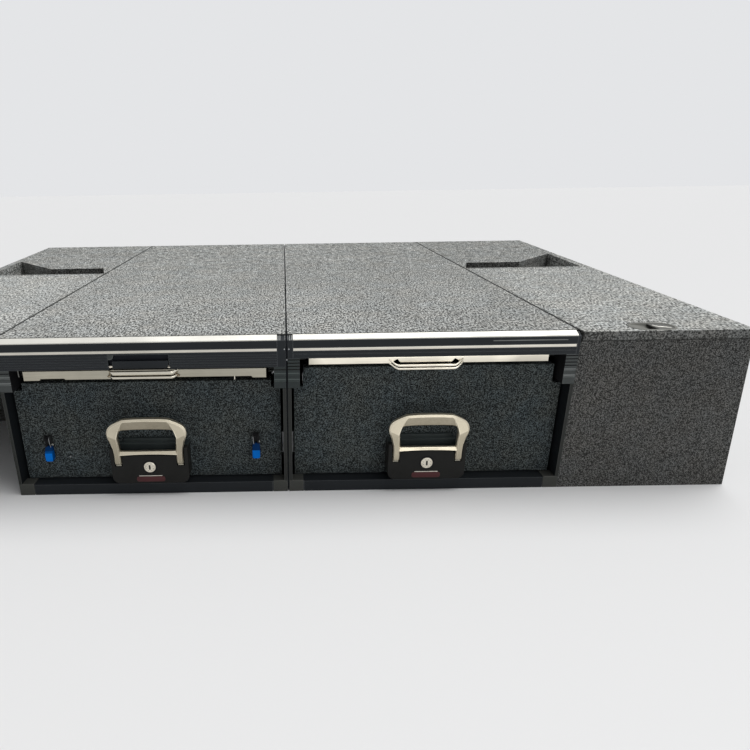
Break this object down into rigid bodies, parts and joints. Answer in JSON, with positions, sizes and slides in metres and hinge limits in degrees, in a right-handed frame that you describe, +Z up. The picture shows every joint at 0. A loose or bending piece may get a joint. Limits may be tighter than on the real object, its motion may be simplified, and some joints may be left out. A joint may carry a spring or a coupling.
{
  "type": "rear drawer kitchen unit",
  "caption": "Low carpeted rear drawer unit for a wagon: side-by-side drawers with D-handles, slide-out steel tables above them, and side wings with lifting lids.",
  "frame": {"origin": "middle of the footprint, at the height of the surface that the unit stands on", "axes": "+X to the right seen from the drawer fronts, +Y from the drawer fronts into the vehicle, +Z up"},
  "size_m": [1.718, 1.213, 0.283],
  "materials": {
    "carpet": "salt-and-pepper needle-punch carpet glued over board",
    "graphite_alloy": "dark anodised, finely grooved",
    "bright_trim": "polished",
    "stainless": "brushed along the width",
    "cast_alloy": "satin cast",
    "black_plastic": "fine moulded grain",
    "grey_plastic": "fine moulded grain",
    "zinc_steel": "zinc plated",
    "nickel": "satin nickel",
    "blue_plastic": "moulded, slightly glossy"
  },
  "bodies": {
    "frame": {"top_board_left": "carpet", "top_board_right": "carpet", "side_wall_inner_left": "graphite_alloy", "side_wall_inner_right": "graphite_alloy", "side_wall_outer_left": "graphite_alloy", "side_wall_outer_right": "graphite_alloy", "base_tray_left": "zinc_steel", "base_tray_right": "zinc_steel", "rear_panel_left": "carpet", "rear_panel_right": "carpet", "bottom_rail_left": "graphite_alloy", "bottom_rail_right": "graphite_alloy", "front_rail_left": "graphite_alloy", "front_rail_right": "graphite_alloy", "nose_trim_left": "bright_trim", "nose_trim_right": "bright_trim", "corner_block_inner_left": "black_plastic", "corner_block_inner_right": "black_plastic", "corner_block_outer_left": "black_plastic", "corner_block_outer_right": "black_plastic", "wing_side_left": "carpet", "wing_side_right": "carpet", "wing_rear_left": "carpet", "wing_rear_right": "carpet", "wing_bulkhead_left": "carpet", "wing_front_rail_left": "carpet", "wing_front_right": "carpet", "wing_rear_board_left": "carpet", "wing_rear_board_right": "carpet", "wing_scoop_left": "carpet", "wing_scoop_right": "carpet"},
    "slides_left": {"slide_inner_left": "zinc_steel", "slide_outer_left": "zinc_steel"},
    "slides_right": {"slide_inner_right": "zinc_steel", "slide_outer_right": "zinc_steel"},
    "drawer_left": {"drawer_box_left": "zinc_steel", "drawer_front_left": "carpet", "handle_base_left": "black_plastic", "catch_bracket_outer": "black_plastic", "catch_bracket_inner": "black_plastic"},
    "drawer_right": {"drawer_box_right": "zinc_steel", "drawer_front_right": "carpet", "handle_base_right": "black_plastic"},
    "handle_left": {"handle_left": "cast_alloy"},
    "handle_right": {"handle_right": "cast_alloy"},
    "lock_left": {"lock_barrel_left": "nickel"},
    "lock_right": {"lock_barrel_right": "nickel"},
    "tongue_left": {"latch_tongue_left": "zinc_steel"},
    "tongue_right": {"latch_tongue_right": "zinc_steel"},
    "table_left": {"table_left": "stainless"},
    "table_right": {"table_right": "stainless"},
    "lock_paddle": {"lock_paddle": "graphite_alloy"},
    "catch_outer": {"catch_grip_outer": "blue_plastic"},
    "catch_inner": {"catch_grip_inner": "blue_plastic"},
    "lid_left": {"wing_lid_left": "carpet", "latch_cup_left": "grey_plastic"},
    "lid_right": {"wing_lid_right": "carpet", "latch_cup_right": "grey_plastic"},
    "flush_latch_left": {"latch_paddle_left": "bright_trim"},
    "flush_latch_right": {"latch_paddle_right": "bright_trim"}
  },
  "joints": [
    {"name": "drawer_left_slide", "type": "slide", "parent": "frame", "child": "drawer_left", "axis": [0, -1, 0], "range_m": [0, 0.8]},
    {"name": "drawer_right_slide", "type": "slide", "parent": "frame", "child": "drawer_right", "axis": [0, -1, 0], "range_m": [0, 0.8]},
    {"name": "slides_left_travel", "type": "slide", "parent": "frame", "child": "slides_left", "axis": [0, -1, 0], "range_m": [0, 0.4]},
    {"name": "slides_right_travel", "type": "slide", "parent": "frame", "child": "slides_right", "axis": [0, -1, 0], "range_m": [0, 0.4]},
    {"name": "table_left_slide", "type": "slide", "parent": "frame", "child": "table_left", "axis": [0, -1, 0], "range_m": [0, 0.6]},
    {"name": "table_right_slide", "type": "slide", "parent": "frame", "child": "table_right", "axis": [0, -1, 0], "range_m": [0, 0.6]},
    {"name": "handle_left_pull", "type": "hinge", "parent": "drawer_left", "child": "handle_left", "pos_m": [-0.2365, -0.6005, 0.068], "axis": [1, 0, 0], "range_deg": [0, 40], "stiffness_Nm_per_rad": 0.6},
    {"name": "handle_right_pull", "type": "hinge", "parent": "drawer_right", "child": "handle_right", "pos_m": [0.2365, -0.6005, 0.068], "axis": [1, 0, 0], "range_deg": [0, 40], "stiffness_Nm_per_rad": 0.6},
    {"name": "tongue_left_lift", "type": "slide", "parent": "drawer_left", "child": "tongue_left", "axis": [0, 0, 1], "range_m": [0, 0.012]},
    {"name": "tongue_right_lift", "type": "slide", "parent": "drawer_right", "child": "tongue_right", "axis": [0, 0, 1], "range_m": [0, 0.012]},
    {"name": "lock_left_turn", "type": "hinge", "parent": "drawer_left", "child": "lock_left", "pos_m": [-0.2365, -0.5935, 0.0565], "axis": [0, 1, 0], "range_deg": [0, 90]},
    {"name": "lock_right_turn", "type": "hinge", "parent": "drawer_right", "child": "lock_right", "pos_m": [0.2365, -0.5935, 0.0565], "axis": [0, 1, 0], "range_deg": [0, 90]},
    {"name": "lock_paddle_pull", "type": "hinge", "parent": "frame", "child": "lock_paddle", "pos_m": [-0.239, -0.59, 0.2344], "axis": [1, 0, 0], "range_deg": [0, 30], "stiffness_Nm_per_rad": 0.04},
    {"name": "catch_outer_swing", "type": "hinge", "parent": "drawer_left", "child": "catch_outer", "pos_m": [-0.41, -0.5798, 0.105], "axis": [-1, 0, 0], "range_deg": [0, 60], "stiffness_Nm_per_rad": 0.05},
    {"name": "catch_inner_swing", "type": "hinge", "parent": "drawer_left", "child": "catch_inner", "pos_m": [-0.055, -0.5798, 0.105], "axis": [-1, 0, 0], "range_deg": [0, 60], "stiffness_Nm_per_rad": 0.05},
    {"name": "lid_left_lift", "type": "hinge", "parent": "frame", "child": "lid_left", "pos_m": [-0.63, 0.0195, 0.282], "axis": [-1, 0, 0], "range_deg": [0, 85]},
    {"name": "lid_right_lift", "type": "hinge", "parent": "frame", "child": "lid_right", "pos_m": [0.63, 0.0195, 0.282], "axis": [-1, 0, 0], "range_deg": [0, 85]},
    {"name": "flush_latch_left_lift", "type": "hinge", "parent": "lid_left", "child": "flush_latch_left", "pos_m": [-0.618, -0.568, 0.281], "axis": [0, -1, 0], "range_deg": [0, 40], "stiffness_Nm_per_rad": 0.05},
    {"name": "flush_latch_right_lift", "type": "hinge", "parent": "lid_right", "child": "flush_latch_right", "pos_m": [0.618, -0.568, 0.281], "axis": [0, 1, 0], "range_deg": [0, 40], "stiffness_Nm_per_rad": 0.05}
  ],
  "couplings": [
    {"joint": "slides_left_travel", "follows": "drawer_left_slide", "ratio": 0.5},
    {"joint": "slides_right_travel", "follows": "drawer_right_slide", "ratio": 0.5},
    {"joint": "tongue_left_lift", "follows": "handle_left_pull", "m_per_rad": 0.017},
    {"joint": "tongue_right_lift", "follows": "handle_right_pull", "m_per_rad": 0.017}
  ]
}
